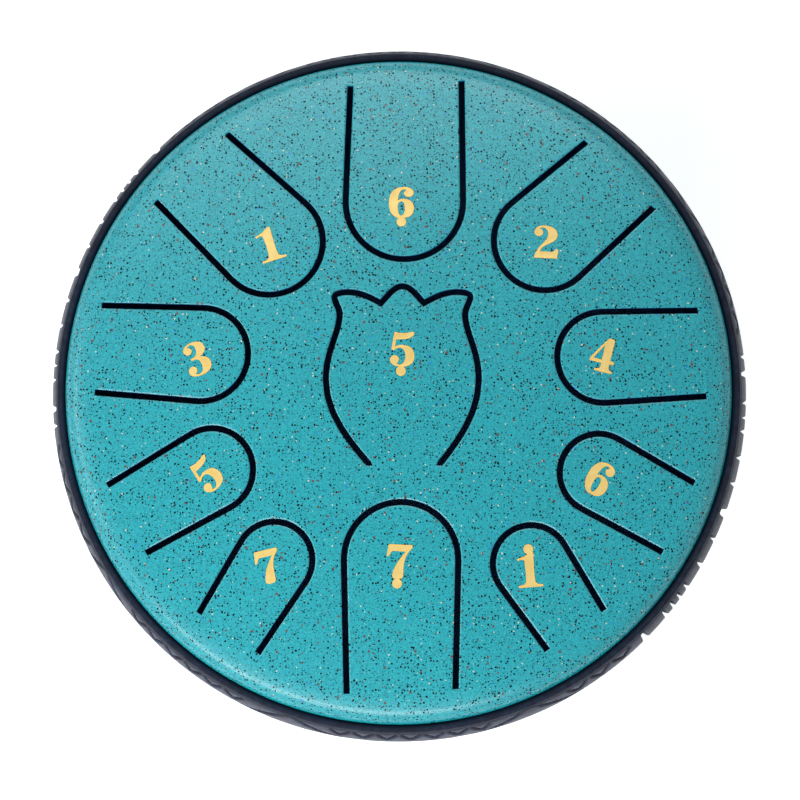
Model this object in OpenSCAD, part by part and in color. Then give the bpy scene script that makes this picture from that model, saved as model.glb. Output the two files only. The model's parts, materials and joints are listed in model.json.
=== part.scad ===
// Steel tongue drum with eleven notes, all sizes in millimetres.
// The origin is on the table under the middle of the drum. +Z is up, +Y is away from the player.

/* [Shells] */
// Outer radius of both steel shells at the seam
shell_r = 76; // [66:0.5:100]
// Thickness of the sheet steel
sheet_t = 1.2; // [0.8:0.1:2]
// Height of the middle of the playing face above the table
drum_h = 75; // [64:0.5:90]
// Rise of the playing face from its shoulder to its middle
dome_rise = 6; // [4:0.25:8]
// Outer radius of the shoulder between the playing face and the skirt
shoulder_r = 4; // [3:0.25:5]
// Depth of the welded seam below the middle of the playing face
seam_drop = 19; // [17:0.5:21]
// Outer radius of the bend between the bowl's wall and its flat base
bowl_bend_r = 36; // [28:0.5:38]
// Radius of the sound hole in the base
sound_hole_r = 12; // [8:0.5:20]

/* [Tongues] */
// Width of the slots cut round the tongues
slot_w = 1.4; // [1:0.1:1.8]
// Gap between the root of a tongue and the shell that it bends from
root_gap = 0.03; // [0.02:0.01:0.1]

/* [Numbers] */
// Height of a numeral
digit_h = 7.7; // [5:0.1:8.5]
// Thickness of the gold foil
foil_t = 0.08; // [0.05:0.01:0.2]
// Thickness of the glue under the foil
glue_t = 0.02; // [0.01:0.01:0.05]

/* [Rim band] */
// Height of the rubber band round the seam
band_h = 18; // [14:0.5:18]
// Width of the plain lip on top of the band
lip_w = 1.9; // [1.6:0.1:3]
// Swell of the pads past the lip at the seam's height
pad_swell = 2.1; // [1.7:0.1:3]
// Depth of the grooves at the seam's height
groove_depth = 1.7; // [0.8:0.1:1.9]
// Width of the grooves
groove_w = 1.0; // [0.7:0.1:1.3]
// Number of times that the relief repeats round the band
relief_repeats = 2; // [1:1:3]
// Clearance between the band and the steel
band_fit = 0.05; // [0.02:0.01:0.2]

/* [Weld] */
// Gap between the edges of the two shells, filled by the weld
weld_gap = 0.4; // [0.2:0.1:0.8]
// Width of the weld's crown
weld_w = 3; // [2:0.2:4]
// Height of the weld's crown above the shells
weld_crown = 0.5; // [0.3:0.1:0.8]

/* [Feet] */
// Number of rubber feet
foot_count = 4; // [3:1:6]
// Height of a foot
foot_h = 6; // [5:0.5:7]
// Radius of a foot where it meets the base
foot_r = 7.5; // [6.5:0.5:8]
// Radius of a foot on the table
foot_floor_r = 6.5; // [5.5:0.25:6.5]
// Radius of the circle through the middles of the feet
foot_circle_r = 30; // [28.5:0.5:31.5]
// Radius of the screw recess in a foot
recess_r = 4.2; // [4:0.1:4.5]
// Depth of the screw recess in a foot
recess_depth = 3.6; // [3.2:0.1:4]

/* [Screws] */
// Radius of a screw's shank
screw_r = 1.5; // [1:0.25:1.75]
// Length of a screw's shank
screw_l = 8; // [7:0.5:10]
// Radius of a screw's head
head_r = 2.8; // [2.4:0.1:3]
// Height of a screw's head
head_h = 1.8; // [1.4:0.1:2]
// Width and depth of the cross recess in a screw's head
cross_w = 0.7; // [0.5:0.1:0.9]
// Outer radius of a washer
washer_r = 3.5; // [3.2:0.1:3.8]
// Thickness of a washer
washer_t = 0.6; // [0.4:0.1:0.8]
// Width of a nut across its flats
nut_af = 5.5; // [5:0.1:6]
// Height of a nut
nut_h = 2.4; // [2:0.1:3]
// Clearance round a screw's shank in the foot, the base and the washer
hole_fit = 0.2; // [0.1:0.05:0.3]
// Clearance between a screw's thread and its nut
thread_fit = 0.02; // [0.01:0.01:0.05]

/* [Hidden] */
notes = ["6_low", "1", "2", "3", "4", "5", "6", "7", "7_low", "1_high", "5_low"];
tongue_names = [for (n = notes) str("tongue_", n)];
number_names = [for (n = notes) str("number_", n)];
foot_names = [for (i = [1 : foot_count]) str("rubber_foot_", i)];
shell_names = ["top_shell", "bottom_shell", "seam_weld", "rim_band"];
hardware_names = ["foot_screws", "foot_washers", "foot_nuts"];

// Smoothness of what turns about an axis, of the wide dome, and of bends and curves
$fn = 180;
dome_fn = 1440;
bend_steps = 20;
tip_steps = 30;
curve_steps = 6;
bulge_steps = 9;
// How far a cut runs past what it cuts
overrun = 2;
// Share of a shift that a point has to keep from its path, or else it is part of a fold
fold_share = 0.999;
// How far the last point of the shoulder stands off the dome, so that the two cross cleanly
shoulder_lift = 0.02;

// The playing face is part of a sphere, and its shoulder is an arc that touches it
seam_z = drum_h - seam_drop;
face_r = shell_r - shoulder_r;
dome_r = (face_r * face_r + dome_rise * dome_rise) / (2 * dome_rise);
dome_z = drum_h - dome_r;
shoulder_z = dome_z + sqrt(pow(dome_r - shoulder_r, 2) - face_r * face_r);
shoulder_angle = acos(face_r / (dome_r - shoulder_r));
shoulder_way = [cos(shoulder_angle), sin(shoulder_angle)];
arc_end = shoulder_angle * (1 - 1 / bend_steps);

// Round tongues, one row each: how far the middle of the round tip is from the drum's middle, the
// direction of that point in degrees, the tip's radius, the direction from tip to root, how much each
// side leans in, and the lengths of the left and right sides. All but the angles are shares of shell_r.
tongue_shares = [
    [0.549, 87.8, 0.175, 89.4, 1.2, 0.357, 0.377],
    [0.572, 131.6, 0.159, 135.7, 1.9, 0.336, 0.327],
    [0.614, 44.6, 0.150, 42.2, 1.7, 0.297, 0.312],
    [0.588, 171.0, 0.140, 175.9, 1.6, 0.309, 0.311],
    [0.615, 7.7, 0.136, 3.1, 1.4, 0.289, 0.298],
    [0.603, 204.7, 0.124, 209.3, 1.5, 0.286, 0.291],
    [0.651, 336.3, 0.117, 331.3, 1.0, 0.258, 0.273],
    [0.631, 235.1, 0.113, 237.5, 1.8, 0.253, 0.248],
    [0.516, 271.4, 0.168, 269.9, 1.2, 0.374, 0.390],
    [0.659, 306.8, 0.113, 303.9, 2.8, 0.227, 0.231]
];
// The tulip tongue: where its middle line stands, and the curve points of its right half, from the
// root up to the middle petal, as shares of shell_r. The left half is its mirror but for its foot.
tulip_x_share = 0.016;
tulip_left_foot_shares = [[0.094, -0.241], [0.155, -0.170]];
tulip_shares = [
    [0.107, -0.241], [0.163, -0.170], [0.226, -0.089], [0.226, 0.016],
    [0.226, 0.097], [0.187, 0.153], [0.185, 0.204],
    [0.184, 0.224], [0.196, 0.236], [0.201, 0.254],
    [0.207, 0.268], [0.192, 0.273], [0.176, 0.274],
    [0.139, 0.278], [0.108, 0.267], [0.064, 0.241],
    [0.042, 0.262], [0.026, 0.293], [0, 0.293]
];
// Numbers, one row each: the numeral, a dot below (-1) or above (1), the place across and along the
// face as shares of shell_r, the turn in degrees, and the height, the width against the height, how far
// the dot stands to the right and the gap to its middle as shares of digit_h
number_shares = [
    [6, -1, 0.0126, 0.5457, 0, 0.942, 0.98, 0, 0.118],
    [1, 0, -0.3786, 0.4220, 17.6, 1.022, 1.01, 0, 0],
    [2, 0, 0.4430, 0.4272, -2.2, 0.981, 1.03, 0, 0],
    [3, 0, -0.5923, 0.0790, 18.2, 1.004, 1.01, 0, 0],
    [4, 0, 0.6102, 0.0892, -13.5, 1.007, 0.96, 0, 0],
    [5, 0, -0.5618, -0.2665, 42.1, 1.014, 0.93, 0, 0],
    [6, 0, 0.5948, -0.2772, -28.9, 1.018, 0.86, 0, 0],
    [7, 0, -0.3765, -0.5352, 16.0, 0.987, 0.97, 0, 0],
    [7, -1, 0.0088, -0.5217, 0, 0.999, 0.98, -0.077, 0.141],
    [1, 1, 0.3904, -0.5452, 4.5, 1.014, 1.01, 0, 0.089],
    [5, -1, 0.0157, 0.1024, 0, 1.025, 0.95, -0.036, 0.130]
];
dot_r_share = 0.141;
// Outlines of the numerals in shares of their height. Each point has x, y and a 1 where it is a corner.
digit_w_shares = [0, 0.70, 0.70, 0.70, 0.76, 0.73, 0.80, 0.77];
one_shares = [
    [0, 0, 1], [0, 0.06, 1], [0.15, 0.085, 0], [0.22, 0.17, 0], [0.22, 0.70, 0], [0.19, 0.79, 0],
    [0.12, 0.80, 0], [0.02, 0.77, 1], [0, 0.825, 1], [0.20, 0.88, 0], [0.34, 0.96, 0], [0.42, 1, 1],
    [0.48, 0.99, 1], [0.48, 0.17, 0], [0.55, 0.085, 0], [0.70, 0.06, 1], [0.70, 0, 1]
];
two_shares = [
    [0, 0, 1], [0.05, 0.16, 0], [0.15, 0.33, 0], [0.27, 0.47, 0], [0.37, 0.60, 0], [0.40, 0.72, 0],
    [0.385, 0.83, 0], [0.32, 0.915, 0], [0.22, 0.94, 0], [0.14, 0.91, 1], [0.23, 0.85, 0],
    [0.25, 0.76, 0], [0.19, 0.685, 0], [0.11, 0.665, 0], [0.03, 0.71, 0], [0, 0.80, 0],
    [0.05, 0.91, 0], [0.15, 0.975, 0], [0.30, 1, 0], [0.47, 0.97, 0], [0.61, 0.89, 0],
    [0.67, 0.76, 0], [0.66, 0.65, 0], [0.58, 0.54, 0], [0.44, 0.45, 0], [0.31, 0.38, 0],
    [0.22, 0.30, 0], [0.17, 0.20, 1], [0.36, 0.20, 0], [0.53, 0.195, 0], [0.60, 0.24, 0],
    [0.64, 0.29, 0], [0.70, 0.27, 0], [0.695, 0.13, 0], [0.67, 0, 1]
];
three_shares = [
    [0.14, 0.89, 1], [0.20, 0.93, 0], [0.28, 0.945, 0], [0.355, 0.90, 0], [0.385, 0.78, 0],
    [0.36, 0.65, 0], [0.28, 0.565, 0], [0.19, 0.55, 0], [0.155, 0.52, 0], [0.20, 0.485, 0],
    [0.30, 0.49, 0], [0.39, 0.44, 0], [0.43, 0.28, 0], [0.40, 0.12, 0], [0.31, 0.055, 0],
    [0.21, 0.06, 0], [0.17, 0.09, 1], [0.24, 0.15, 0], [0.24, 0.25, 0], [0.15, 0.315, 0],
    [0.04, 0.28, 0], [0, 0.19, 0], [0.03, 0.09, 0], [0.13, 0.02, 0], [0.33, 0, 0],
    [0.53, 0.04, 0], [0.67, 0.15, 0], [0.70, 0.28, 0], [0.66, 0.41, 0], [0.55, 0.50, 0],
    [0.44, 0.535, 1], [0.56, 0.60, 0], [0.64, 0.70, 0], [0.645, 0.81, 0], [0.58, 0.93, 0],
    [0.44, 0.99, 0], [0.28, 1, 0], [0.13, 0.96, 0], [0.04, 0.88, 0], [0.02, 0.77, 0],
    [0.09, 0.685, 0], [0.19, 0.685, 0], [0.26, 0.76, 0], [0.23, 0.85, 0]
];
four_shares = [
    [0.44, 1, 1], [0.60, 1, 0], [0.63, 0.97, 0], [0.62, 0.36, 1], [0.72, 0.36, 0], [0.76, 0.31, 0],
    [0.72, 0.265, 0], [0.62, 0.265, 1], [0.62, 0.16, 0], [0.66, 0.085, 0], [0.75, 0.06, 1],
    [0.75, 0, 1], [0.20, 0, 1], [0.20, 0.06, 1], [0.33, 0.085, 0], [0.37, 0.16, 0],
    [0.37, 0.25, 1], [0, 0.25, 1], [0.02, 0.36, 1]
];
four_hole_shares = [[0.10, 0.35, 1], [0.37, 0.35, 1], [0.37, 0.80, 1]];
five_shares = [
    [0.14, 1, 1], [0.30, 0.965, 0], [0.50, 0.965, 0], [0.68, 1, 0], [0.73, 0.97, 0], [0.66, 0.86, 0],
    [0.51, 0.80, 0], [0.34, 0.785, 0], [0.185, 0.785, 1], [0.15, 0.565, 1], [0.28, 0.62, 0],
    [0.46, 0.61, 0], [0.64, 0.53, 0], [0.73, 0.34, 0], [0.69, 0.14, 0], [0.55, 0.03, 0],
    [0.36, 0, 0], [0.15, 0.03, 0], [0.03, 0.12, 0], [0, 0.21, 0], [0.04, 0.29, 0],
    [0.14, 0.325, 0], [0.24, 0.29, 0], [0.27, 0.21, 0], [0.235, 0.13, 0], [0.20, 0.08, 1],
    [0.29, 0.055, 0], [0.38, 0.09, 0], [0.45, 0.20, 0], [0.465, 0.34, 0], [0.43, 0.46, 0],
    [0.34, 0.54, 0], [0.22, 0.535, 0], [0.12, 0.48, 0], [0.06, 0.485, 0], [0.05, 0.53, 0]
];
six_shares = [
    [0.49, 1, 0], [0.66, 0.97, 0], [0.77, 0.88, 0], [0.78, 0.79, 0], [0.73, 0.71, 0], [0.62, 0.68, 0],
    [0.53, 0.71, 0], [0.475, 0.80, 0], [0.51, 0.86, 0], [0.57, 0.89, 1], [0.52, 0.92, 0],
    [0.46, 0.925, 0], [0.385, 0.88, 0], [0.33, 0.79, 0], [0.30, 0.68, 0], [0.29, 0.575, 1],
    [0.39, 0.61, 0], [0.53, 0.61, 0], [0.67, 0.56, 0], [0.77, 0.45, 0], [0.80, 0.31, 0],
    [0.77, 0.17, 0], [0.68, 0.06, 0], [0.54, 0.01, 0], [0.40, 0, 0], [0.24, 0.02, 0],
    [0.10, 0.13, 0], [0.02, 0.30, 0], [0, 0.50, 0], [0.03, 0.70, 0], [0.13, 0.87, 0],
    [0.29, 0.97, 0]
];
six_hole_shares = [
    [0.40, 0.535, 0], [0.475, 0.50, 0], [0.505, 0.39, 0], [0.505, 0.27, 0], [0.475, 0.145, 0],
    [0.40, 0.07, 0], [0.32, 0.13, 0], [0.29, 0.27, 0], [0.29, 0.43, 0], [0.33, 0.51, 0]
];
seven_shares = [
    [0.06, 1, 1], [0.755, 0.97, 1], [0.77, 0.915, 0], [0.73, 0.855, 0], [0.625, 0.735, 0],
    [0.56, 0.60, 0], [0.515, 0.45, 0], [0.495, 0.28, 0], [0.485, 0.135, 0], [0.47, 0.04, 0],
    [0.39, 0, 0], [0.255, 0, 0], [0.175, 0.05, 0], [0.175, 0.135, 0], [0.215, 0.27, 0],
    [0.29, 0.42, 0], [0.39, 0.565, 0], [0.50, 0.70, 0], [0.57, 0.785, 1], [0.345, 0.795, 0],
    [0.165, 0.80, 0], [0.12, 0.755, 0], [0.075, 0.68, 0], [0.035, 0.645, 0], [0, 0.655, 1]
];
digit_outlines = [
    [], one_shares, two_shares, three_shares, four_shares, five_shares, six_shares, seven_shares
];

// The rim band stands on the line of the seam
band_top_z = seam_z + band_h / 2;
lip_r = shell_r + lip_w;
band_bore_r = shell_r + band_fit;
weld_room = weld_crown + band_fit;
// How far the band's top edges are rounded, as a share of the lip's width
edge_share = 0.3;
edge_r = lip_w * edge_share;
bulge_half_h = band_h / 2 - edge_r;
// The relief, as shares of one repeat. Petals: left foot, peak and right foot.
petal_shares = [[0.128, 0.178, 0.247], [0.328, 0.400, 0.472], [0.550, 0.624, 0.700]];
// Rows of small chevrons between the petals: start, end and number of chevrons
chevron_shares = [[0.220, 0.355, 6], [0.436, 0.588, 7], [0.660, 0.735, 3], [1.050, 1.150, 4]];
// Slits between the beads: place, and width as a share of the grooves' width
slit_shares = [
    [0.750, 2], [0.778, 1], [0.789, 0.8], [0.799, 0.8], [0.810, 1], [0.834, 1], [0.860, 1],
    [0.886, 3], [0.914, 1], [0.938, 1], [0.963, 1], [0.9755, 0.8], [0.989, 1], [1.016, 2.2],
    [1.032, 1]
];
// Heights of the petals' peaks and feet, and of the chevrons' arms and points, as shares of half the
// band's height
peak_share = 0.95;
foot_share = -0.1;
arm_share = 0.80;
point_share = 0.52;
// How far a chevron's arms reach to each side, as a share of the chevrons' step, and the bend of the
// petals' sides
arm_reach_share = 0.4;
side_bend = 1.2;
// Parts that each side of a petal is cut in, so that its floor follows the band, and how far they
// overlap as a share of one part
side_parts = 2;
lap_share = 0.15;
floor_r = lip_r + pad_swell - groove_depth;

// Screws stand in the middle of each foot
foot_turn = 180 / foot_count;
washer_z = recess_depth - washer_t;
screw_seat_z = washer_z;
cross_depth = cross_w;
// Reach of the cross recess and height of the head's rounding, as shares of the head
cross_reach_share = 0.6;
cross_reach = head_r * cross_reach_share;
head_round_share = 0.5;

// Points of an arc about a centre, from one angle to another
function arc(c, r, from, to, steps) = [
    for (i = [0 : steps])
        let (a = from + (to - from) * i / steps)
        c + r * [cos(a), sin(a)]
];

// A point of a cubic curve
function bezier(a, b, c, d, t) =
    pow(1 - t, 3) * a + 3 * t * pow(1 - t, 2) * b + 3 * t * t * (1 - t) * c + pow(t, 3) * d;

// Unit vector along a direction, and the one square to it
function along(v) = v / norm(v);
function square_to(v) = [v[1], -v[0]] / norm(v);

// A smooth closed outline through points that may be corners
function tangent(p, i) =
    let (n = len(p), before = p[(i + n - 1) % n], after = p[(i + 1) % n])
    along([after[0] - before[0], after[1] - before[1]]);
function leave(p, i, chord) = p[i][2] == 1 ? chord : tangent(p, i) * norm(chord);
function smooth_outline(p) = [
    for (i = [0 : len(p) - 1])
        let (
            j = (i + 1) % len(p),
            a = [p[i][0], p[i][1]],
            d = [p[j][0], p[j][1]],
            b = a + leave(p, i, d - a) / 3,
            c = d - leave(p, j, d - a) / 3,
            steps = p[i][2] == 1 && p[j][2] == 1 ? 1 : curve_steps
        )
        for (k = [0 : steps - 1]) bezier(a, b, c, d, k / steps)
];

// Distance of a point from a path
function off_line(q, a, b) =
    let (t = max(0, min(1, (q - a) * (b - a) / ((b - a) * (b - a)))))
    norm(q - a - t * (b - a));
function off_path(q, p) = min([for (i = [0 : len(p) - 2]) off_line(q, p[i], p[i + 1])]);

// A path moved sideways, with its corners kept sharp
function side_of(p, i) = square_to(p[i + 1] - p[i]);
function shifted_path(p, by) = [
    for (i = [0 : len(p) - 1])
        let (
            before = side_of(p, max(i - 1, 0)),
            after = side_of(p, min(i, len(p) - 2))
        )
        p[i] + by * (before + after) / (1 + before * after)
];

// The same without the points that fold back over tight bends
function unfolded_path(p, by) = [for (q = shifted_path(p, by)) if (off_path(q, p) > abs(by) * fold_share) q];

// Round tongue in its own frame: the tip's middle is at the origin and the root lies along +X.
// side is 1 on the left and -1 on the right.
function side_start(r, lean, side) = r * [sin(lean), side * cos(lean)];
function side_way(lean, side) = [cos(lean), -side * sin(lean)];
function slot_end(row, side) =
    side_start(row[2] * shell_r + slot_w / 2, row[4], side)
    + (side == 1 ? row[5] : row[6]) * shell_r * side_way(row[4], side);
function root_corner(row, r, side, gap) =
    let (
        from = side_start(r, row[4], side),
        way = side_way(row[4], side),
        out = square_to(slot_end(row, 1) - slot_end(row, -1))
    )
    from + way * ((slot_end(row, side) - from) * out - gap) / (way * out);
function tongue_outline(row, grow, gap) =
    let (r = row[2] * shell_r + grow)
    concat(
        [root_corner(row, r, 1, gap)],
        arc([0, 0], r, 90 - row[4], 270 + row[4], tip_steps),
        [root_corner(row, r, -1, gap)]
    );

// Middle line of the tulip's slot, from one root end over the petals to the other
function tulip_half(p) = [
    for (s = [0 : 3 : len(p) - 4], k = [0 : curve_steps - 1])
        shell_r * bezier(p[s], p[s + 1], p[s + 2], p[s + 3], k / curve_steps)
];
tulip_right = tulip_half(tulip_shares);
tulip_peak = shell_r * tulip_shares[len(tulip_shares) - 1];
tulip_left_shares = concat(tulip_left_foot_shares, [for (i = [2 : len(tulip_shares) - 1]) tulip_shares[i]]);
tulip_left = tulip_half(tulip_left_shares);
tulip_mirrored = [for (i = [len(tulip_left) - 1 : -1 : 0]) [-tulip_left[i][0], tulip_left[i][1]]];
tulip_path = concat(tulip_right, [tulip_peak], tulip_mirrored);
tulip_root_z = tulip_right[0][1];

module tulip_region(grow, gap) {
    translate([tulip_x_share * shell_r, 0])
        intersection() {
            polygon(unfolded_path(tulip_path, grow));
            translate([-shell_r, tulip_root_z + gap])
                square([2 * shell_r, shell_r]);
        }
}

module round_region(row, grow, gap) {
    rotate(row[1])
        translate([row[0] * shell_r, 0])
            rotate(row[3] - row[1])
                polygon(tongue_outline(row, grow, gap));
}

// The flat shape of a tongue, grown past the middle of its slot or kept short of it
module tongue_region(i, grow, gap) {
    if (i < len(tongue_shares)) {
        round_region(tongue_shares[i], grow, gap);
    } else {
        tulip_region(grow, gap);
    }
}

// Half section of the playing face, shoulder and skirt, filled in down to the seam
module face_section(inset, low) {
    intersection() {
        translate([0, dome_z])
            circle(r = dome_r - inset, $fn = dome_fn);
        polygon(concat(
            [[0, low], [shell_r - inset, low]],
            arc([face_r, shoulder_z], shoulder_r - inset, 0, arc_end, bend_steps),
            [[face_r, shoulder_z] + (shoulder_r - inset + shoulder_lift) * shoulder_way],
            [[face_r, drum_h + overrun], [0, drum_h + overrun]]
        ));
    }
}

module face_sheet() {
    rotate_extrude()
        difference() {
            face_section(0, seam_z + weld_gap / 2);
            face_section(sheet_t, seam_z - overrun);
        }
}

module top_shell() {
    color("#36a3ad")
        difference() {
            face_sheet();
            for (i = [0 : len(notes) - 1])
                translate([0, 0, seam_z])
                    linear_extrude(height = drum_h - seam_z + overrun)
                        tongue_region(i, slot_w / 2, 0);
        }
}

module tongue(i) {
    color("#36a3ad")
        intersection() {
            face_sheet();
            translate([0, 0, seam_z])
                linear_extrude(height = drum_h - seam_z + overrun)
                    tongue_region(i, -slot_w / 2, root_gap);
        }
}

module bowl_section(inset, high) {
    polygon(concat(
        [[0, high], [shell_r - inset, high]],
        arc([shell_r - bowl_bend_r, foot_h + bowl_bend_r], bowl_bend_r - inset, 0, -90, bend_steps),
        [[0, foot_h + inset]]
    ));
}

// Puts what it is given in the middle of each foot
module at_feet() {
    for (i = [0 : foot_count - 1])
        rotate(foot_turn + i * 360 / foot_count)
            translate([foot_circle_r, 0, 0])
                children();
}

module bottom_shell() {
    color("#2f97a3")
        difference() {
            rotate_extrude()
                difference() {
                    bowl_section(0, seam_z - weld_gap / 2);
                    bowl_section(sheet_t, seam_z + overrun);
                }
            cylinder(r = sound_hole_r, h = foot_h + sheet_t + overrun);
            at_feet()
                cylinder(r = screw_r + hole_fit, h = foot_h + sheet_t + overrun);
        }
}

module seam_weld() {
    color("#6d747b")
        rotate_extrude()
            polygon(concat(
                [[shell_r - sheet_t, seam_z + weld_gap / 2], [shell_r - sheet_t, seam_z - weld_gap / 2]],
                [[shell_r, seam_z - weld_gap / 2]],
                [for (i = [0 : curve_steps])
                    let (a = 180 * i / curve_steps)
                    [shell_r + weld_crown * sin(a), seam_z - weld_w / 2 * cos(a)]],
                [[shell_r, seam_z + weld_gap / 2]]
            ));
}

// Radius of the band's swollen side at a height from the seam
function bulge_r(v) =
    let (r = (bulge_half_h * bulge_half_h + pad_swell * pad_swell) / (2 * pad_swell))
    lip_r + pad_swell - r + sqrt(r * r - v * v);

module band_section() {
    difference() {
        polygon(concat(
            [[band_bore_r, seam_z - band_h / 2], [lip_r - edge_r, seam_z - band_h / 2]],
            [for (i = [0 : bulge_steps])
                let (v = bulge_half_h * (2 * i / bulge_steps - 1))
                [bulge_r(v), seam_z + v]],
            [[lip_r - edge_r, band_top_z], [band_bore_r, band_top_z]]
        ));
        translate([0, seam_z - weld_w / 2 - band_fit])
            square([shell_r + weld_room, weld_w + 2 * band_fit]);
    }
}

// What a groove along a path takes away, laid flat with the band's height along Y
module groove(path) {
    right = shifted_path(path, groove_w / 2);
    left = shifted_path(path, -groove_w / 2);
    polygon(concat(right, [for (i = [len(left) - 1 : -1 : 0]) left[i]]));
}

// Stands a flat shape up facing outwards at a share of one repeat, and the same upside down
module cutter(share) {
    rotate(share * 360 / relief_repeats)
        for (flip = [0, 1])
            translate([floor_r, 0, seam_z])
                rotate([90, 0, 90])
                    mirror([0, flip])
                        linear_extrude(height = groove_depth + overrun)
                            children();
}

// Length along the pads of a share of one repeat
function run(share) = share * 2 * PI * (lip_r + pad_swell) / relief_repeats;

// A point of a petal's side, from its foot to its peak
function side_point(foot, peak, t) =
    let (rise = foot_share + pow(t, side_bend) * (peak_share - foot_share))
    [run(foot + t * (peak - foot)), rise * band_h / 2];

module petal_side(foot, peak) {
    for (part = [0 : side_parts - 1]) {
        middle = foot + (part + 0.5) / side_parts * (peak - foot);
        from = max(0, part - lap_share) / side_parts;
        to = min(side_parts, part + 1 + lap_share) / side_parts;
        cutter(middle)
            translate([-run(middle), 0])
                groove([for (i = [0 : curve_steps - 2])
                    side_point(foot, peak, from + (to - from) * i / (curve_steps - 2))]);
    }
}

module chevrons(row) {
    step = (row[1] - row[0]) / row[2];
    for (i = [0 : row[2] - 1])
        cutter(row[0] + (i + 0.5) * step)
            groove([
                [-run(step) * arm_reach_share, band_h / 2 * arm_share],
                [0, band_h / 2 * point_share],
                [run(step) * arm_reach_share, band_h / 2 * arm_share]
            ]);
}

module relief_cuts() {
    for (m = [0 : relief_repeats - 1])
        rotate(m * 360 / relief_repeats) {
            for (p = petal_shares) {
                petal_side(p[0], p[1]);
                petal_side(p[2], p[1]);
            }
            for (row = chevron_shares)
                chevrons(row);
        }
}

// The slits between the beads, all the way up and down the band
module bead_slits() {
    translate([0, 0, seam_z - band_h])
        linear_extrude(height = 2 * band_h)
            difference() {
                for (m = [0 : relief_repeats - 1], b = slit_shares)
                    rotate((m + b[0]) * 360 / relief_repeats)
                        translate([shell_r, -b[1] * groove_w / 2])
                            square([lip_w + pad_swell + overrun, b[1] * groove_w]);
                circle(r = floor_r);
            }
}

module rim_band() {
    color("#2a3b4e")
        difference() {
            rotate_extrude()
                band_section();
            relief_cuts();
            bead_slits();
        }
}

// The outline of a numeral, one unit high
module digit_shape(d) {
    difference() {
        polygon(smooth_outline(digit_outlines[d]));
        if (d == 4)
            polygon(smooth_outline(four_hole_shares));
        if (d == 6)
            polygon(smooth_outline(six_hole_shares));
    }
}

// A numeral with its dot, of a thickness, with the middle of the numeral over the origin
module number_solid(row, thick) {
    tall = row[5] * digit_h;
    wide = row[6] * tall;
    union() {
        translate([-digit_w_shares[row[0]] * wide / 2, -tall / 2, 0])
            linear_extrude(height = thick)
                scale([wide, tall])
                    digit_shape(row[0]);
        if (row[1] != 0)
            translate([row[7] * digit_h, row[1] * (tall / 2 + row[8] * digit_h), 0])
                cylinder(r = dot_r_share * digit_h, h = thick);
    }
}

module number_foil(i) {
    row = number_shares[i];
    place = shell_r * [row[2], row[3]];
    bearing = atan2(place[1], place[0]);
    tilt = asin(norm(place) / dome_r);
    color("#e6cf73")
        translate([0, 0, dome_z])
            rotate(bearing)
                rotate([0, tilt, 0])
                    translate([0, 0, dome_r + glue_t])
                        rotate(row[4] - bearing)
                            number_solid(row, foil_t);
}

module rubber_foot(i) {
    color("#1c1f22")
        rotate(foot_turn + i * 360 / foot_count)
            translate([foot_circle_r, 0, 0])
                rotate_extrude()
                    polygon([
                        [screw_r + hole_fit, foot_h],
                        [screw_r + hole_fit, recess_depth],
                        [recess_r, recess_depth],
                        [recess_r, 0],
                        [foot_floor_r, 0],
                        [foot_r, foot_h]
                    ]);
}

module foot_screws() {
    color("#9aa0a6")
        at_feet()
            difference() {
                rotate_extrude()
                    polygon(concat(
                        [[0, screw_seat_z + screw_l], [0, screw_seat_z - head_h]],
                        [for (i = [0 : curve_steps])
                            let (a = 90 * i / curve_steps)
                            [head_r * (1 - head_round_share + head_round_share * sin(a)),
                             screw_seat_z - head_h + head_h * head_round_share * (1 - cos(a))]],
                        [[head_r, screw_seat_z], [screw_r, screw_seat_z], [screw_r, screw_seat_z + screw_l]]
                    ));
                for (turn = [0, 90])
                    rotate(turn)
                        translate([-cross_reach, -cross_w / 2, screw_seat_z - head_h - overrun])
                            cube([2 * cross_reach, cross_w, overrun + cross_depth]);
            }
}

module foot_washers() {
    color("#b7bcc0")
        at_feet()
            translate([0, 0, washer_z])
                difference() {
                    cylinder(r = washer_r, h = washer_t);
                    translate([0, 0, -overrun])
                        cylinder(r = screw_r + hole_fit, h = washer_t + 2 * overrun);
                }
}

module foot_nuts() {
    color("#b7bcc0")
        at_feet()
            translate([0, 0, foot_h + sheet_t])
                difference() {
                    cylinder(r = nut_af / 2 / cos(30), h = nut_h, $fn = 6);
                    translate([0, 0, -overrun])
                        cylinder(r = screw_r + thread_fit, h = nut_h + 2 * overrun);
                }
}

top_shell();
bottom_shell();
seam_weld();
rim_band();
for (i = [0 : len(notes) - 1]) {
    tongue(i);
    number_foil(i);
}
for (i = [0 : foot_count - 1]) {
    rubber_foot(i);
}
foot_screws();
foot_washers();
foot_nuts();
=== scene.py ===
"""Looks of the steel tongue drum: lacquered shells with tuned tongues, gold foil numbers and a
rubber band with a leaf relief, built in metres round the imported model's own outlines."""

import json
import math
from itertools import accumulate

import bmesh
import bpy
import numpy as np
from mathutils import Matrix, Vector
from mathutils.geometry import delaunay_2d_cdt


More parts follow.
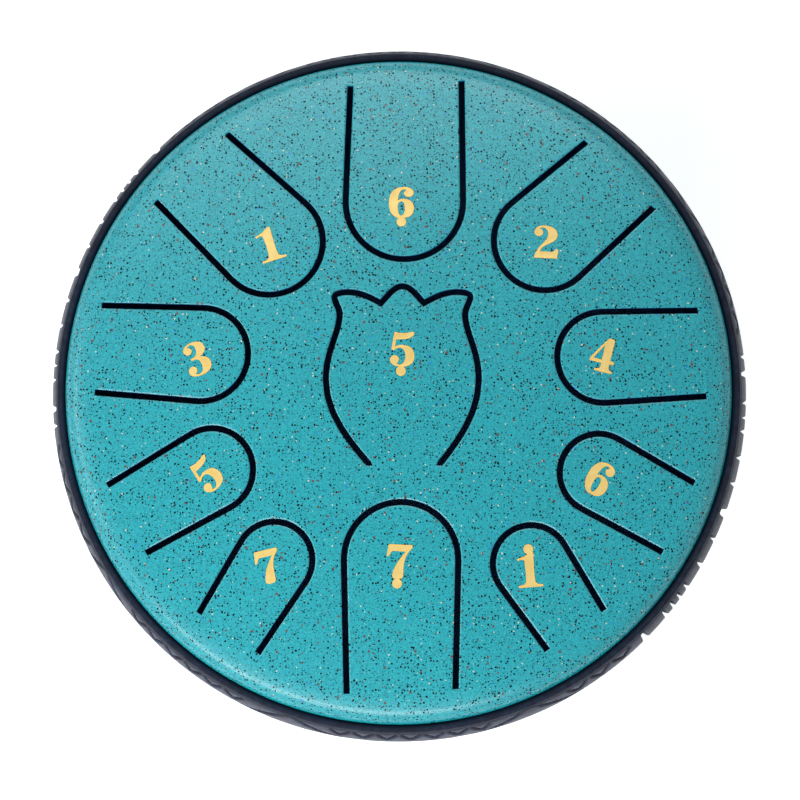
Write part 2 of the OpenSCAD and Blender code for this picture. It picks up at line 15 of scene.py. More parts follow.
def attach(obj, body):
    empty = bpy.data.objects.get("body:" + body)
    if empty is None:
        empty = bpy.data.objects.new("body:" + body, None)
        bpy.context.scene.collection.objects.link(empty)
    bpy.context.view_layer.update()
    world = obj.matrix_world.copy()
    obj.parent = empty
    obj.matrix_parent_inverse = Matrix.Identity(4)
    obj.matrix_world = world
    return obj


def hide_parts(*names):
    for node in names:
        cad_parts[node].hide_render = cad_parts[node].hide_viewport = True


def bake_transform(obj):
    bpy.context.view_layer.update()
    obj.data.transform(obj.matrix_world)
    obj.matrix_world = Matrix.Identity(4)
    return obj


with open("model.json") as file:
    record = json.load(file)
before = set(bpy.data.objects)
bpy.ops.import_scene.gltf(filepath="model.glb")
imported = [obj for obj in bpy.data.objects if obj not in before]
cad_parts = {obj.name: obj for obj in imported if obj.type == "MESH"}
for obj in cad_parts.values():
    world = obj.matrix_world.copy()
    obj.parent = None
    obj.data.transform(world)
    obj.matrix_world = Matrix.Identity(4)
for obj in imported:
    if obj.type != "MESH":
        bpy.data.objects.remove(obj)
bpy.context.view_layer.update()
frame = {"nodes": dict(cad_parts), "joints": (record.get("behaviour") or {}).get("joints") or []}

MM = 0.001

# Sizes of the shells, as in the model
SHELL_R = 76 * MM
SHEET_T = 1.2 * MM
DRUM_H = 75 * MM
DOME_RISE = 6 * MM
SHOULDER_R = 4 * MM
SEAM_Z = 56 * MM
WELD_GAP = 0.4 * MM
BOWL_BEND_R = 36 * MM
FOOT_H = 6 * MM
SOUND_HOLE_R = 12 * MM
SCREW_HOLE_R = 1.7 * MM
FACE_R = SHELL_R - SHOULDER_R
DOME_R = (FACE_R**2 + DOME_RISE**2) / (2 * DOME_RISE)
DOME_Z = DRUM_H - DOME_R

# Points round the shells and their holes, steps round their bends, and steps of their fills
SHELL_COLUMNS = 480
SOUND_HOLE_POINTS = 120
SCREW_HOLE_POINTS = 24
SHOULDER_STEPS = 18
BOWL_STEPS = 32
FACE_STEP = 1.6 * MM
BOWL_FILL_STEP = 3 * MM

# The face bends over a little before its shoulder, which spreads the light along the rim as the
# photograph shows: where the easing starts, how far it takes the face down, and the round
# shoulder that it runs into
EASE_R = 69.3 * MM
EASE_DROP = 0.3 * MM
EDGE_R = FACE_R + SHOULDER_R * FACE_R / (DOME_R - SHOULDER_R)
EASE_SLOPE = EDGE_R / math.sqrt(DOME_R**2 - EDGE_R**2) + 2 * EASE_DROP / (EDGE_R - EASE_R)
EDGE_TILT = math.atan(EASE_SLOPE)
BEND_R = (SHELL_R - EDGE_R) / (1 - math.sin(EDGE_TILT))
EDGE_Z = DOME_Z + math.sqrt(DOME_R**2 - EDGE_R**2) - EASE_DROP
BEND_Z = EDGE_Z - BEND_R * math.cos(EDGE_TILT)

# The model's outlines: how far a wall's normal may point up and how far a top face's must, as
# shares, and within what distance points count as one
WALL_UP = 0.3
FACE_UP = 0.9
SAME_POINT = 0.001 * MM

# Slots: steps along their outlines, and over what length which turn in degrees is a corner
OUTLINE_STEP = 0.55 * MM
OUTLINE_WINDOW = 0.5 * MM
OUTLINE_CORNER = 38
# Width of their softened edges, its profile as shares of that width (left to the wall, depth),
# and the plain border that keeps the softening narrow
EDGE_ROUND = 0.3 * MM
EDGE_PROFILE = [(1.0, 0.0), (0.92, 0.02), (0.5, 0.26), (0.08, 0.5), (0.0, 0.7)]
EDGE_BORDER = 0.07 * MM
# Points across a tongue's root, how far past it the softening dies away, and how much longer
# than straight the root's stretch of an outline may be
ROOT_POINTS = 12
ROOT_FADE = 0.3 * MM
STRAIGHT_LIMIT = 1.02
# Length from a tongue's root inwards, to a point on its middle line
BEND_LENGTH = 6 * MM

# Gold numbers: steps and corners of their outlines, step of their fill, and the height of their
# raised rim and fill as a share of the foil's thickness at distances from the outline, in mm
NUMBER_STEP = 0.09 * MM
NUMBER_WINDOW = 0.12 * MM
NUMBER_CORNER = 30
NUMBER_GRID = 0.11 * MM
NUMBER_RIM = [(0.0, 0.5), (0.05, 0.9), (0.1, 1.0), (0.14, 0.9), (0.24, 0.5)]
FOIL_T = 0.08 * MM

# Rim band, as in the model
BAND_H = 18 * MM
LIP_W = 1.9 * MM
PAD_SWELL = 2.1 * MM
GROOVE_DEPTH = 1.7 * MM
GROOVE_W = 1.0 * MM
BAND_FIT = 0.05 * MM
EDGE_SHARE = 0.3
LIP_R = SHELL_R + LIP_W
LIP_ROUND = EDGE_SHARE * LIP_W
LIP_INNER_ROUND = 0.4 * MM
BULGE_HALF_H = BAND_H / 2 - LIP_ROUND
GROOVE_FLOOR_R = LIP_R + PAD_SWELL - GROOVE_DEPTH
# Room under the band for the weld: its depth past the shells, and its half height
WELD_ROOM_T = 0.55 * MM
WELD_ROOM_HALF_H = 1.55 * MM

# The band's relief, at shares of a repeat: petals (foot, peak, foot), rows of chevrons (first,
# last, count) and slits (place, width as a share of a groove's)
RELIEF_REPEATS = 2
PETALS = [(0.128, 0.178, 0.247), (0.328, 0.400, 0.472), (0.550, 0.624, 0.700)]
CHEVRONS = [(0.220, 0.355, 6), (0.436, 0.588, 7), (0.660, 0.735, 3), (1.050, 1.150, 4)]
SLITS = [
    (0.750, 2), (0.778, 1), (0.789, 0.8), (0.799, 0.8), (0.810, 1), (0.834, 1), (0.860, 1),
    (0.886, 3), (0.914, 1), (0.938, 1), (0.963, 1), (0.9755, 0.8), (0.989, 1), (1.016, 2.2),
    (1.032, 1),
]
# Heights of the petals' peaks and feet and the chevrons' arms and points, as shares of half the
# band's height, how the petals curve, and an arm's length as a share of its chevron's
PEAK_SHARE = 0.95
FOOT_SHARE = -0.1
ARM_SHARE = 0.80
POINT_SHARE = 0.52
PETAL_POINTS = 9
PETAL_CURVE = 1.2
ARM_REACH = 0.4
# A groove's flat floor, as a share of its width each way, and the width of its sloped sides
GROOVE_FLAT = 0.3
GROOVE_SLOPE_W = 0.3 * GROOVE_W

# The band's mesh: points round it, rows up its face, which are closer near the lips, steps of
# its round edges, and how far from level the lips' edges stop, in degrees
BAND_COLUMNS = 1800
BAND_ROWS = 32
ROW_CROWDING = 0.8
LIP_STEPS = 4
LIP_END_TILT = 15
# How pale the lip is painted, from 0 as the grooves' painted shade to 1 as the pads' painted
# sheen
LIP_TONE = 0.3
# The pads' painted sheen is weaker at their middle, where they stand out furthest, and fades
# to the lip's tone next to it
PAD_MIDDLE_TONE = 0.7
PAD_BORDER_H = 1.3 * MM

# Feet: where they are, points round them, steps of their rounded corners, and their profile
# (radius, height, how far its rounding reaches from the corner)
FOOT_CIRCLE_R = 30 * MM
FOOT_ANGLES = [45, 135, 225, 315]
FOOT_COLUMNS = 72
FOOT_CORNER_STEPS = 4
FOOT_R = 7.5 * MM
FOOT_FLOOR_R = 6.5 * MM
RECESS_R = 4.2 * MM
RECESS_DEPTH = 3.6 * MM
FOOT_PROFILE = [
    (SCREW_HOLE_R, FOOT_H, 0.1 * MM),
    (SCREW_HOLE_R, RECESS_DEPTH, 0.1 * MM),
    (RECESS_R, RECESS_DEPTH, 0.15 * MM),
    (RECESS_R, 0, 0.35 * MM),
    (FOOT_FLOOR_R, 0, 0.7 * MM),
    (FOOT_R, FOOT_H, 0.4 * MM),
]

NOTES = ["6_low", "1", "2", "3", "4", "5", "6", "7", "7_low", "1_high", "5_low"]
JOINTS = {joint["child"]: joint for joint in frame["joints"]}


# ---------------------------------------------------------------- outlines

def top_loops(name):
    """Outlines of a CAD node's top face, x, y and z, where its upright walls drop from it."""
    shape = bmesh.new()
    shape.from_mesh(frame["nodes"][name].data)
    bmesh.ops.remove_doubles(shape, verts=shape.verts, dist=SAME_POINT)
    shape.normal_update()
    after = {}
    for edge in shape.edges:
        if len(edge.link_faces) != 2:
            continue
        wall, face = sorted(edge.link_faces, key=lambda f: f.normal.z)
        if abs(wall.normal.z) < WALL_UP and face.normal.z > FACE_UP:
            for loop in face.loops:
                if loop.edge == edge:
                    after[loop.vert] = loop.link_loop_next.vert
    loops = []
    while after:
        start = vert = next(iter(after))
        loop = []
        while vert in after:
            loop.append((vert.co.x, vert.co.y, vert.co.z))
            vert = after.pop(vert)
        if vert == start:
            loops.append(np.array(loop))
    shape.free()
    return loops


def turn_sharpness(loop, window):
    """How sharply a closed outline turns at each point, in degrees, seen over a short way on
    each side."""
    length = np.linalg.norm(np.roll(loop, -1, 0) - loop, axis=1)
    place = np.concatenate([[0], np.cumsum(length)])
    closed = np.vstack([loop, loop[:1]])

    def at(s):
        s = np.mod(s, place[-1])
        return np.stack([np.interp(s, place, closed[:, k]) for k in (0, 1)], 1)

    here = place[:-1]
    ahead = at(here + window) - loop[:, :2]
    behind = loop[:, :2] - at(here - window)
    cross = behind[:, 0] * ahead[:, 1] - behind[:, 1] * ahead[:, 0]
    return np.abs(np.degrees(np.arctan2(cross, (behind * ahead).sum(1))))


def resampled(loop, step, window, corner):
    """The outline with even steps between its corners, and the indexes of the corners in it."""
    sharp = turn_sharpness(loop, window)
    corners = []
    for i in np.argsort(-sharp):
        if sharp[i] > corner and all(
            np.linalg.norm(loop[i, :2] - loop[j, :2]) > window for j in corners
        ):
            corners.append(i)
    corners = sorted(corners) or [0]
    points, marks = [], []
    n = len(loop)
    for a, b in zip(corners, corners[1:] + [corners[0] + n]):
        section = loop[[i % n for i in range(a, b + 1)], :2]
        steps = np.linalg.norm(np.diff(section, axis=0), axis=1)
        length = np.concatenate([[0], np.cumsum(steps)])
        even = np.linspace(0, length[-1], max(1, round(length[-1] / step)) + 1)
        part = np.stack([np.interp(even, length, section[:, k]) for k in (0, 1)], 1)
        for _ in range(2):
            part[1:-1] = (part[:-2] + 2 * part[1:-1] + part[2:]) / 4
        marks.append(sum(len(p) for p in points))
        points.append(part[:-1])
    return np.vstack(points), marks


def shifted(loop, by, sharpest=0.35):
    """A closed outline moved to its left. Its corners are kept, and only very sharp ones, below
    sharpest, move less than that needs."""
    way = np.roll(loop, -1, 0) - loop
    way /= np.linalg.norm(way, axis=1)[:, None]
    left = np.stack([-way[:, 1], way[:, 0]], 1)
    before = np.roll(left, 1, 0)
    bend = np.maximum(1 + (left * before).sum(1), sharpest)
    return loop + by * (left + before) / bend[:, None]


def circle(r, count, centre=(0, 0), way=1):
    """Points round a circle, against the clock, or with it for way -1."""
    turn = way * np.arange(count) * 2 * math.pi / count
    return np.stack([centre[0] + r * np.cos(turn), centre[1] + r * np.sin(turn)], 1)


def inside(points, loops):
    """True for the points that lie between the outlines, by the even-odd rule."""
    odd = np.zeros(len(points), bool)
    for loop in loops:
        for a, b in zip(loop, np.roll(loop, -1, 0)):
            if a[1] == b[1]:
                continue
            across = (points[:, 1] >= min(a[1], b[1])) & (points[:, 1] < max(a[1], b[1]))
            x = a[0] + (points[:, 1] - a[1]) * (b[0] - a[0]) / (b[1] - a[1])
            odd ^= across & (points[:, 0] < x)
    return odd


def spans(loops):
    """Where each outline starts and ends in a list of all their points."""
    ends = list(accumulate(len(loop) for loop in loops))
    return list(zip([0] + ends, ends))


def filled(loops, step, clearance=0.45, tolerance=1e-6):
    """Points and triangles that fill the area between the outlines, whose own points come
    first. The others keep clear of them, by a share of the step."""
    rim = np.vstack(loops)
    low, high = rim.min(0), rim.max(0)
    xs = np.arange(low[0], high[0], step)
    ys = np.arange(low[1], high[1], step * math.sqrt(3) / 2)
    grid = np.array([(x + step / 2 * (j % 2), y) for j, y in enumerate(ys) for x in xs])
    grid = grid[inside(grid, loops)]
    near = (clearance * step) ** 2
    clear = [np.min((rim[:, 0] - x) ** 2 + (rim[:, 1] - y) ** 2) > near for x, y in grid]
    points = np.vstack([rim, grid[np.array(clear, bool)]])
    # The fill is worked out in millimetres, where its tolerance is fine enough, and a triangle
    # counts as inside by the same rounded numbers, so that straight outlines leave no slivers
    flat = (points / MM).astype(np.float32).astype(float)
    edges = [(a + i, a + (i + 1) % (b - a)) for a, b in spans(loops) for i in range(b - a)]
    found = delaunay_2d_cdt([Vector(p) for p in flat], edges, [], 0, tolerance)
    origin = [source[0] if source else None for source in found[3]]
    if None in origin:
        raise ValueError("an outline crosses itself")
    tris = np.array([[origin[i] for i in tri] for tri in found[2]])
    tris = tris[inside(flat[tris].mean(1), [flat[a:b] for a, b in spans(loops)])]
    a, b, c = (flat[tris[:, k]] for k in range(3))
    area = (b[:, 0] - a[:, 0]) * (c[:, 1] - a[:, 1]) - (b[:, 1] - a[:, 1]) * (c[:, 0] - a[:, 0])
    tris[area < 0] = tris[area < 0][:, ::-1]
    return points, tris


# ---------------------------------------------------------------- meshes

# Places of a piece's materials: on its face, and on its underside and cut walls. The darker back
# material on the cut walls is painted shade in slots, holes and foil edges.
FRONT, BACK = 0, 1


class Shape:
    """Collects points and faces, and makes a smooth object of them with sharp edges kept."""

    def __init__(self):
        self.points, self.faces, self.looks = [], [], []
        self.count = 0

    def add(self, points):
        """Adds points, and returns their indexes."""
        points = np.asarray(points, float)
        self.points.append(points)
        self.count += len(points)
        return np.arange(self.count - len(points), self.count)

    def strip(self, a, b, look=FRONT):
        """Faces between two closed rows of points."""
        for i in range(len(a)):
            j = (i + 1) % len(a)
            self.faces.append((a[i], b[i], b[j], a[j]))
            self.looks.append(look)

    def tris(self, tris, look):
        self.faces += [tuple(t) for t in tris]
        self.looks += [look] * len(tris)

    def made(self, name, materials, sharp=25):
        """The object. Edges that turn by more than sharp degrees stay sharp."""
        mesh = bpy.data.meshes.new(name)
        faces = [tuple(int(i) for i in face) for face in self.faces]
        mesh.from_pydata(np.vstack(self.points).tolist(), [], faces)
        for material in materials:
            mesh.materials.append(material)
        mesh.polygons.foreach_set("material_index", self.looks)
        mesh.shade_smooth()
        mesh.set_sharp_from_angle(angle=math.radians(sharp))
        mesh.update()
        obj = bpy.data.objects.new(name, mesh)
        bpy.context.scene.collection.objects.link(obj)
        return obj


def lifted(points, height):
    """Flat points with a height each."""
    return np.column_stack([points, height(points[:, 0], points[:, 1])])


def dome(inset=0.0):
    """Height of the playing face, or of a sheet face that far under it."""
    def height(x, y):
        eased = np.maximum(np.hypot(x, y) - EASE_R, 0) / (EDGE_R - EASE_R)
        return DOME_Z + np.sqrt((DOME_R - inset) ** 2 - x**2 - y**2) - EASE_DROP * eased**2

    return height


def level(z):
    """Height of a level face."""
    return lambda x, y: np.full(np.shape(x), z)


def cut_rows(loop, softened, top, under):
    """Rows from a plain border on the top face, over a rounded edge and down a cut wall, to the
    underside, and how many of the strips between them are lacquered. The cut wall and underside
    take the back material, painted shade in the slot. softened is 1 where the edge is rounded
    and
    0 where it stays sharp."""
    border = shifted(loop, EDGE_ROUND + EDGE_BORDER)
    rows = [lifted(border, top)]
    for left, depth in EDGE_PROFILE:
        row = lifted(shifted(loop, EDGE_ROUND * left), top)
        row[:, 2] -= softened * EDGE_ROUND * depth
        rows.append(row)
    rows += [lifted(loop, under), lifted(border, under)]
    return rows, len(EDGE_PROFILE)


def arc(r, bend_r, bend_z, start, end, steps):
    """Points (radius, height) on an arc about the point bend_r, bend_z of a profile."""
    turns = np.linspace(start, end, steps + 1)
    return [(bend_r + r * math.cos(a), bend_z + r * math.sin(a)) for a in turns]


def ring_rows(profile, count):
    """Rows round the drum's axis through the points (radius, height) of a profile."""
    return [np.column_stack([circle(r, count), np.full(count, z)]) for r, z in profile]


def shell_border(r, bend_z, start, steps, edge_z):
    """Outer border of a shell, like that of cut_rows: round a bend of radius r, down the wall to
    the open edge, and back up inside."""
    outer = arc(r, SHELL_R - r, bend_z, start, 0, steps) + [(SHELL_R, edge_z)]
    inner = [(SHELL_R - SHEET_T, edge_z)]
    inner += arc(r - SHEET_T, SHELL_R - r, bend_z, 0, start, steps)
    return ring_rows(outer + inner, SHELL_COLUMNS), len(outer) - 1


def add_sheet(shape, borders, top, under, step):
    """A sheet with a top face, an underside and rows of faces between them. Each border is its
    rows of points from the top face to the underside, and how many of its strips have the look
    of the top face."""
    firsts = [rows[0] for rows, _ in borders]
    lasts = [rows[-1] for rows, _ in borders]
    points, tris = filled([row[:, :2] for row in firsts], step)
    fill = points[sum(len(row) for row in firsts) :]
    first = shape.add(np.vstack(firsts))
    above = np.concatenate([first, shape.add(lifted(fill, top))])
    last = shape.add(np.vstack(lasts))
    below = np.concatenate([last, shape.add(lifted(fill, under))])
    shape.tris(above[tris], FRONT)
    shape.tris(below[tris][:, ::-1], BACK)
    for (rows, painted), (start, end) in zip(borders, spans(firsts)):
        chain = [first[start:end]] + [shape.add(row) for row in rows[1:-1]] + [last[start:end]]
        for k, (a, b) in enumerate(zip(chain, chain[1:])):
            shape.strip(a, b, FRONT if k < painted else BACK)


# ---------------------------------------------------------------- materials

def new_material(name, roughness, metallic=0.0, gloss=0.5):
    """A material, its node tree and its Principled shader."""
    material = bpy.data.materials.new(name)
    material.use_nodes = True
    shader = material.node_tree.nodes["Principled BSDF"]
    shader.inputs["Roughness"].default_value = roughness
    shader.inputs["Metallic"].default_value = metallic
    shader.inputs["Specular IOR Level"].default_value = gloss
    return material, material.node_tree, shader


def node(tree, kind, **settings):
    """A new node with its settings."""
    made = tree.nodes.new(kind)
    for name, value in settings.items():
        setattr(made, name, value)
    return made


def math_node(tree, operation, a, b):
    """Result of an operation on two values, each a number or a socket."""
    made = node(tree, "ShaderNodeMath", operation=operation)
    for socket, value in zip(made.inputs, (a, b)):
        if isinstance(value, (int, float)):
            socket.default_value = value
        else:
            tree.links.new(value, socket)
    return made.outputs[0]


def position(tree):
    """Place on the object, in metres."""
    return node(tree, "ShaderNodeTexCoord").outputs["Object"]


def noise(tree, scale, detail, roughness=0.5):
    """Soft noise round 0.5."""
    made = node(tree, "ShaderNodeTexNoise")
    made.inputs["Scale"].default_value = scale
    made.inputs["Detail"].default_value = detail
    made.inputs["Roughness"].default_value = roughness
    tree.links.new(position(tree), made.inputs["Vector"])
    return made.outputs["Fac"]


def mapped(tree, value, from_low, from_high, to_low=0.0, to_high=1.0):
    """The value taken from one range to another, and kept in it."""
    made = node(tree, "ShaderNodeMapRange")
    numbers = (from_low, from_high, to_low, to_high)
    for socket, number in zip(list(made.inputs)[1:5], numbers):
        socket.default_value = number
    tree.links.new(value, made.inputs[0])
    return made.outputs[0]


def patches(tree, scale, detail, low=0.3, high=0.7, roughness=0.5):
    """Soft patches from 0 to 1: noise between two of its levels."""
    return mapped(tree, noise(tree, scale, detail, roughness), low, high)


def mixed(tree, factor, a, b):
    """a where factor is 0 and b where it is 1. Either is a colour or a socket."""
    made = node(tree, "ShaderNodeMix", data_type="RGBA")
    tree.links.new(factor, made.inputs[0])
    for socket, value in ((made.inputs[6], a), (made.inputs[7], b)):
        if isinstance(value, tuple):
            socket.default_value = (*value, 1)
        else:
            tree.links.new(value, socket)
    return made.outputs[2]


def bumped(tree, shader, scale, strength, distance, detail=2):
    """Gives the shader a noisy bump."""
    made = node(tree, "ShaderNodeBump")
    made.inputs["Strength"].default_value = strength
    made.inputs["Distance"].default_value = distance
    tree.links.new(noise(tree, scale, detail), made.inputs["Height"])
    tree.links.new(made.outputs["Normal"], shader.inputs["Normal"])


def rgb(text):
    """Linear colour from the usual six digits."""
    parts = [int(text[i : i + 2], 16) / 255 for i in (0, 2, 4)]
    return tuple(c / 12.92 if c <= 0.04045 else ((c + 0.055) / 1.055) ** 2.4 for c in parts)


# Specks in the lacquer: cell size, share of the cells that hold one, smallest and largest
# radius, in mm, and colour
SPECKS = [
    (0.53, 0.85, 0.06, 0.16, "00323f"),
    (0.72, 0.54, 0.13, 0.26, "00040a"),
    (1.15, 0.17, 0.15, 0.34, "4f3d39"),
    (0.90, 0.20, 0.07, 0.19, "d2d0b4"),
    (1.70, 0.14, 0.14, 0.28, "0f78d0"),
]
# How far into its pattern the first kind is taken, the step from one kind to the next, and the
# share of both on each axis
SPECK_SEED = 3.1
SPECK_SEED_STEP = 4.6
SPECK_WAY = (1, 0.7, 1.3)
# How ragged the specks are: scale of the noise that shifts them, and how far, in cells
RAGGED_SCALE = 5.0
RAGGED_SHIFT = 0.3
# The first specks of the list are the dark ones, which are duller than the lacquer
DARK_SPECKS = 2
LACQUER_GLOSS = 0.55
DARK_GLOSS = 0.12
# How strongly the fine grain and the pale mottling, painted glints, show in the lacquer
GRAIN_STRENGTH = 0.75
GLINT_MOTTLE_STRENGTH = 0.7


def specks(tree, cell, share, small, large, seed):
    """1 on scattered specks and 0 elsewhere. A share of the cells hold a speck each."""
    scaled = node(tree, "ShaderNodeVectorMath", operation="SCALE")
    scaled.inputs["Scale"].default_value = 1 / cell
    tree.links.new(position(tree), scaled.inputs[0])
    place = node(tree, "ShaderNodeVectorMath", operation="ADD")
    place.inputs[1].default_value = [seed * way for way in SPECK_WAY]
    tree.links.new(scaled.outputs[0], place.inputs[0])
    ragged = node(tree, "ShaderNodeTexNoise")
    ragged.inputs["Scale"].default_value = RAGGED_SCALE
    ragged.inputs["Detail"].default_value = 1.0
    tree.links.new(place.outputs[0], ragged.inputs["Vector"])
    shift = node(tree, "ShaderNodeVectorMath", operation="MULTIPLY_ADD")
    shift.inputs[1].default_value = [RAGGED_SHIFT] * 3
    tree.links.new(ragged.outputs["Color"], shift.inputs[0])
    tree.links.new(place.outputs[0], shift.inputs[2])
    cells = node(tree, "ShaderNodeTexVoronoi")
    cells.inputs["Scale"].default_value = 1.0
    tree.links.new(shift.outputs[0], cells.inputs["Vector"])
    chance = node(tree, "ShaderNodeSeparateColor")
    tree.links.new(cells.outputs["Color"], chance.inputs[0])
    radius = mapped(tree, chance.outputs[1], 0, 1, small / cell, large / cell)
    within = math_node(tree, "LESS_THAN", cells.outputs["Distance"], radius)
    chosen = math_node(tree, "LESS_THAN", chance.outputs[0], share)
    return math_node(tree, "MULTIPLY", within, chosen)


def lacquer(name, base, light, shade, glint):
    """Semi-gloss lacquer with a fine grain, pale mottling painted on as glints, and dark, brown,
    cream and a few blue specks.
    """
    material, tree, shader = new_material(name, roughness=0.36)
    colour = mixed(tree, patches(tree, scale=22, detail=3), rgb(base), rgb(light))
    grain = patches(tree, scale=2300, detail=2, low=0.42, high=0.68, roughness=0.7)
    grain = math_node(tree, "MULTIPLY", grain, GRAIN_STRENGTH)
    colour = mixed(tree, grain, colour, rgb(shade))
    # Pale mottling that stands in for glints on the spray's texture: painted glints
    glint_mottle = patches(tree, scale=2900, detail=1, low=0.6, high=0.8)
    glint_mottle = math_node(tree, "MULTIPLY", glint_mottle, GLINT_MOTTLE_STRENGTH)
    colour = mixed(tree, glint_mottle, colour, rgb(glint))
    dull = 0.0
    for i, (cell, share, small, large, speck) in enumerate(SPECKS):
        seed = SPECK_SEED + SPECK_SEED_STEP * i
        spots = specks(tree, cell * MM, share, small * MM, large * MM, seed)
        colour = mixed(tree, spots, colour, rgb(speck))
        if i < DARK_SPECKS:
            dull = math_node(tree, "MAXIMUM", dull, spots)
    gloss = mapped(tree, dull, 0, 1, LACQUER_GLOSS, DARK_GLOSS)
    tree.links.new(colour, shader.inputs["Base Color"])
    tree.links.new(gloss, shader.inputs["Specular IOR Level"])
    bumped(tree, shader, scale=2400, strength=0.36, distance=0.05 * MM)
    return material


def primer(name, low, high):
    """Thin dark paint inside the drum, also put on the cut walls of slots and holes as painted
    shade.
    """
    material, tree, shader = new_material(name, roughness=0.6)
    colour = mixed(tree, patches(tree, scale=90, detail=4), rgb(low), rgb(high))
    tree.links.new(colour, shader.inputs["Base Color"])
    return material


def foil(name, low, high, bright, roughness):
    """Gold foil with a fine brushed tone and a brighter rim."""
    material, tree, shader = new_material(name, roughness, metallic=0.25)
    fill = mixed(tree, patches(tree, scale=420, detail=3), rgb(low), rgb(high))
    rim = node(tree, "ShaderNodeAttribute", attribute_name="rim").outputs["Fac"]
    tree.links.new(mixed(tree, rim, fill, rgb(bright)), shader.inputs["Base Color"])
    bumped(tree, shader, scale=5200, strength=0.08, distance=0.02 * MM)
    return material


def rubber(name, low, cloudy, raised, bluish_glint, roughness, gloss):
    """Rubber painted paler where the relief stands up, as sheen, with patches of painted bluish
    glints there, and darker in the grooves as painted shade. It is smoother where the relief
    stands up.
    """
    material, tree, shader = new_material(name, roughness, gloss=gloss)
    height = node(tree, "ShaderNodeAttribute", attribute_name="relief").outputs["Fac"]
    ground = mixed(tree, patches(tree, scale=60, detail=4), rgb(low), rgb(cloudy))
    glint_patches = patches(tree, scale=640, detail=3, low=0.42, high=0.68, roughness=0.6)
    # The ground colour in the grooves is painted shade, and the raised colour with its bluish
    # patches is painted sheen and glints on the pads
    colour = mixed(tree, height, ground, mixed(tree, glint_patches, rgb(raised), rgb(bluish_glint)))
    smoother = mapped(tree, height, 0, 1, roughness, roughness - 0.15)
    tree.links.new(colour, shader.inputs["Base Color"])
    tree.links.new(smoother, shader.inputs["Roughness"])
    bumped(tree, shader, scale=3000, strength=0.12, distance=0.05 * MM)
    return material


def bare_metal(name, low, high, roughness, scale):
    """Plain, plated or welded steel with a fine uneven tone."""
    material, tree, shader = new_material(name, roughness, metallic=1.0)
    tone = patches(tree, scale, detail=5, roughness=0.65)
    uneven = mapped(tree, tone, 0, 1, roughness - 0.08, roughness + 0.1)
    tree.links.new(mixed(tree, tone, rgb(low), rgb(high)), shader.inputs["Base Color"])
    tree.links.new(uneven, shader.inputs["Roughness"])
    bumped(tree, shader, scale * 4, strength=0.15, distance=0.05 * MM, detail=3)
    return material


LACQUER = lacquer("lacquer_teal", "049da9", "0ea4b0", "066c79", "5cc0c4")
INNER_PAINT_AND_SLOT_SHADE = primer("inner_primer_and_slot_shade", "08447a", "0c4e88")
FOIL = foil("foil_gold", "d6b668", "dfc57b", "edbc55", 0.42)
# The foil's sides and underside take a darker, browner copy of the gold: painted shade on its
# edges
FOIL_SIDE_SHADE = foil("foil_side_shade", "8a5420", "a2652a", "965c24", 0.5)
# The band's raised colour is painted sheen on the pads and its pale bluish patches are painted
# glints
BAND = rubber("band_rubber_relief", "04101c", "081626", "383644", "445065", 0.5, 0.06)
FOOT = rubber("foot_rubber_black", "0e0f11", "16171a", "1c1d20", "232427", 0.75, 0.3)
WELD = bare_metal("weld_steel", "5d6064", "8a8d90", 0.45, 300)
STEEL = bare_metal("screw_plain_steel", "8d9093", "b4b7b9", 0.32, 500)
ZINC = bare_metal("zinc_plate", "a9adb0", "ccd0d2", 0.3, 700)


# ---------------------------------------------------------------- playing face and tongues

def nearest_root(loop, marks, root):
    """The two neighbouring corners of an outline whose straight stretch passes nearest the
    root."""
    best = None
    n = len(loop)
    for a, b in zip(marks, marks[1:] + marks[:1]):
        stretch = [loop[(a + k) % n] for k in range((b - a) % n + 1)]
        length = sum(np.linalg.norm(q - p) for p, q in zip(stretch, stretch[1:]))
        straight = length < STRAIGHT_LIMIT * np.linalg.norm(loop[b] - loop[a])
        away = np.linalg.norm((loop[a] + loop[b]) / 2 - root)
        if straight and (best is None or away < best[0]):
            best = (away, a, b)
    return best[1], best[2]


def root_stretch(loop, a, b, shares):
    """The outline turned to start at corner a, with its root stretch to corner b cut at the
    shares."""
    n = len(loop)
    rest = [loop[(b + k) % n] for k in range((a - b) % n)]
    return np.array([loop[a] + (loop[b] - loop[a]) * s for s in shares] + rest)


